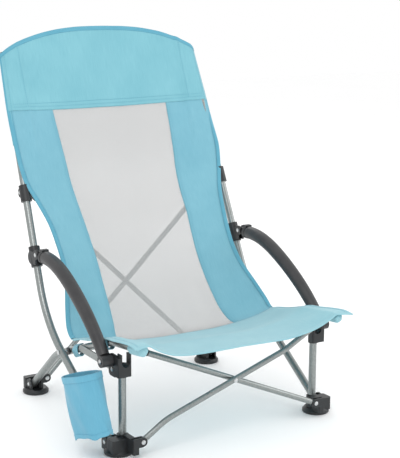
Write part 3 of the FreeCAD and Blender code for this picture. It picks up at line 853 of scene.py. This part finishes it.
def strap_round_pole(a, b):
    middle = FRONT_PIN + pole_up * (STRAP_LOW + STRAP_WIDTH * b)
    angle = 2.0 * math.pi * a
    r = 0.0095 + 0.0016 * max(0.0, math.cos(angle)) ** 4
    spot = middle + pole_side * (math.cos(angle) * r) + pole_face * (math.sin(angle) * r)
    return placed(-spot.x, spot.y, spot.z), (a * 0.062, b * STRAP_WIDTH)


strap = lay("cup_pouch_strap", 8, 48, strap_round_pole, pouch_cloth, "pole_left", 0.0012)
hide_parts("cup_strap")
print("strap", [round(c, 3) for c in strap.dimensions])

# %% [markdown]
# ## Stitching
# Every seam is a row of lock stitches, about 3.5 mm long with a short gap. One stitch is a tiny stretched
# ball of thread half sunk in the cloth, and a row of them is one mesh, so that a long seam stays light.

# %% Stitch rows
STITCH = 0.0034
STITCH_GAP = 0.0016
THREAD_R = 0.00038


def stitch_row(name, path, body, steps=400):
    """Row of stitches along path(share), which gives a point a little off the cloth."""
    points = [path(k / steps) for k in range(steps + 1)]
    travel = [0.0]
    for k in range(steps):
        travel.append(travel[-1] + (points[k + 1] - points[k]).length)
    form = bmesh.new()
    count = int(travel[-1] / (STITCH + STITCH_GAP))
    k = 0
    for n in range(count):
        start = (n + 0.5) * travel[-1] / count
        while k < steps - 1 and travel[k + 1] < start:
            k += 1
        along = (points[k + 1] - points[k]).normalized()
        spot = points[k] + along * (start - travel[k])
        shape = Matrix.Translation(spot) @ along.to_track_quat("X", "Z").to_matrix().to_4x4()
        shape = shape @ Matrix.Diagonal((STITCH / 2, THREAD_R, THREAD_R, 1.0))
        bmesh.ops.create_uvsphere(form, u_segments=6, v_segments=4, radius=1.0, matrix=shape)
    return into_piece(name, form, thread, body)


def along_rows(top, bottom, across, lift=0.0018):
    """Path down the sling between two rows, at a distance from the middle given by across(v)."""

    def path(share):
        v = top + (bottom - top) * share
        return sling(v, across(v) / half_width(v), lift)

    return path


def along_cross(v, left, right, lift=0.0018):
    """Path across the sling at row v, between two distances from the middle."""
    def path(share):
        return sling(v, (left + (right - left) * share) / half_width(v), lift)

    return path


back_stitches = []
seat_stitches = []
for side, word in ((-1, "left"), (1, "right")):
    for n, inset in enumerate((0.0015, 0.0070)):
        row = along_rows(
            HEAD_SEAM + 0.2, SEAT_SEAM - 0.1,
            lambda v, side=side, inset=inset: side * (mesh_half(v) + inset))
        back_stitches.append(stitch_row(f"mesh_seam_stitches_{word}_{n + 1}", row, "back_cloth"))
    row = along_rows(0.25, CREASE - 0.1, lambda v, side=side: side * (half_width(v) - 0.0078), 0.0022)
    back_stitches.append(stitch_row("binding_stitches_" + word, row, "back_cloth"))
    row = along_rows(0.3, HEAD_SEAM, lambda v, side=side: side * (POCKET_SEAM + 0.001), 0.0020)
    back_stitches.append(stitch_row("pocket_stitches_" + word, row, "back_cloth"))
    row = along_rows(CREASE + 0.2, FRONT - 0.3, lambda v, side=side: side * (half_width(v) - 0.0078), 0.0022)
    seat_stitches.append(stitch_row("seat_edge_stitches_" + word, row, "seat_cloth"))
for n, v in enumerate((HEAD_SEAM - 0.02, HEAD_SEAM - 0.14)):
    row = along_cross(v, -half_width(v) + 0.012, half_width(v) - 0.012, 0.0020)
    back_stitches.append(stitch_row(f"headrest_seam_stitches_{n + 1}", row, "back_cloth"))
row = along_cross(SEAT_SEAM + 0.12, -half_width(SEAT_SEAM) + 0.012, half_width(SEAT_SEAM) - 0.012, 0.0016)
seat_stitches.append(stitch_row("seat_seam_stitches", row, "seat_cloth"))
print("stitch rows:", len(back_stitches) + len(seat_stitches))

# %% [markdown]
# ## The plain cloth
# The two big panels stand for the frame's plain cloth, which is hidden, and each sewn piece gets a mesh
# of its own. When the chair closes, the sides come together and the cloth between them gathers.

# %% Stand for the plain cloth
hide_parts("sling_back")
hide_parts("sling_seat")
for piece in back_panels + back_stitches + [b for b in bindings if b.name.startswith(("back", "top"))]:
    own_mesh(piece)
for piece in [seat_panel] + seat_stitches + [b for b in bindings if b.name.startswith(("seat", "front"))]:
    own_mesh(piece)

# %% [markdown]
# ## Flat sizes
# The size of each sheet's flat cut is printed. The area is that of the laid face. The sides are the
# extents of the pattern coordinates, and where those are too small for the area, as on the headrest with
# its curved top, both are scaled up alike until they hold it. So the sides are nominal, and the area is
# the surer figure.

FULL = 0.98


def declare_sheet(piece):
    """Prints a sheet's nominal flat size and its area, both measured on its one-sided face."""
    cut = piece.data.uv_layers["cut"].data
    across = [loop.uv.x for loop in cut]
    down = [loop.uv.y for loop in cut]
    wide = max(across) - min(across)
    long = max(down) - min(down)
    area = sum(face.area for face in piece.data.polygons)
    if area > FULL * wide * long:
        share = math.sqrt(area / (FULL * wide * long))
        wide, long = wide * share, long * share
    print(f"{piece.name}: {wide * 1000:.0f} x {long * 1000:.0f} mm, {area * 1e4:.0f} cm2")


named = {piece.name: piece for piece in bpy.context.scene.objects if piece.type == "MESH"}
for word in ("left", "right"):
    declare_sheet(named["side_band_" + word])
    declare_sheet(named["back_binding_" + word])
    declare_sheet(named["seat_binding_" + word])
    declare_sheet(named["pole_pocket_" + word])
    for part in ("rail_loop_rear_", "rail_loop_front_", "corner_pocket_"):
        declare_sheet(named[part + word])
declare_sheet(headrest)
declare_sheet(mesh_panel)
declare_sheet(named["top_binding"])
declare_sheet(seat_panel)
declare_sheet(named["front_hem"])
declare_sheet(pouch)
declare_sheet(strap)
